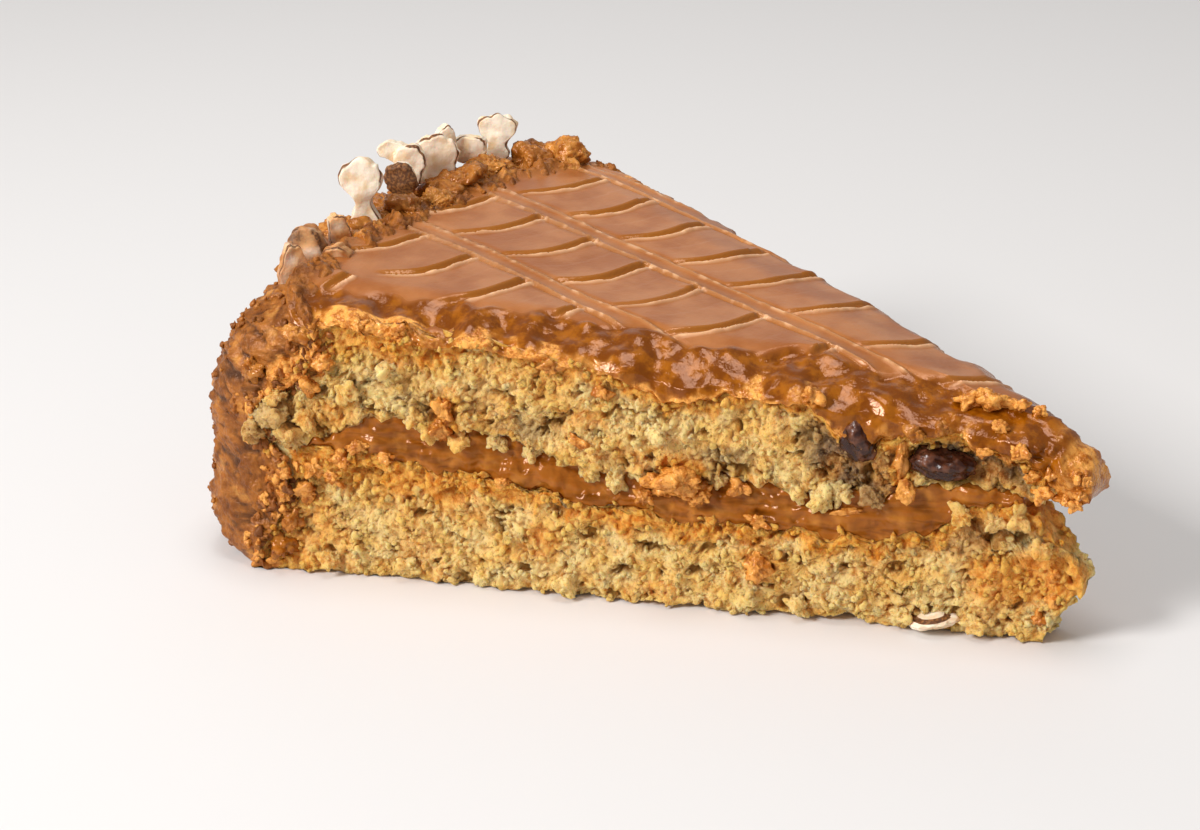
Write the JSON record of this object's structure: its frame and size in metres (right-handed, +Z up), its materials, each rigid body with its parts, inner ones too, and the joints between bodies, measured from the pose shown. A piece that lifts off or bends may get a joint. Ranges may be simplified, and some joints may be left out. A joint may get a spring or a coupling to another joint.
{
  "type": "pecan cake slice",
  "caption": "Slice of a two-layer cake with caramel filling and icing, comb marks across its top and chopped pecans along the rim.",
  "frame": {"origin": "on the flat base, midway between the point of the slice and its iced outer wall, on the line that halves the slice", "axes": "+Z up from the base; +X from the iced outer wall towards the point of the slice; +Y towards the cut face that the picture doesn't show"},
  "size_m": [0.1265, 0.0815, 0.0518],
  "materials": {
    "sponge_crumb": "open, dull crumb",
    "caramel_filling": "glossy, smeared by the knife",
    "caramel_icing": "satin, moist where it is cut",
    "pecan_kernel": "dull, cut faces pale",
    "dark_fruit": "moist, slightly glossy"
  },
  "bodies": {
    "root": {"sponge_lower": "sponge_crumb", "filling": "caramel_filling", "sponge_upper": "sponge_crumb", "icing": "caramel_icing", "pecan_01": "pecan_kernel", "pecan_02": "pecan_kernel", "pecan_03": "pecan_kernel", "pecan_04": "pecan_kernel", "pecan_05": "pecan_kernel", "pecan_06": "pecan_kernel", "pecan_07": "pecan_kernel", "pecan_08": "pecan_kernel", "pecan_09": "pecan_kernel", "pecan_10": "pecan_kernel", "pecan_11": "pecan_kernel", "pecan_12": "pecan_kernel", "fruit_in_crumb_1": "dark_fruit", "fruit_in_crumb_2": "dark_fruit", "pecan_in_crumb": "pecan_kernel"}
  },
  "joints": []
}
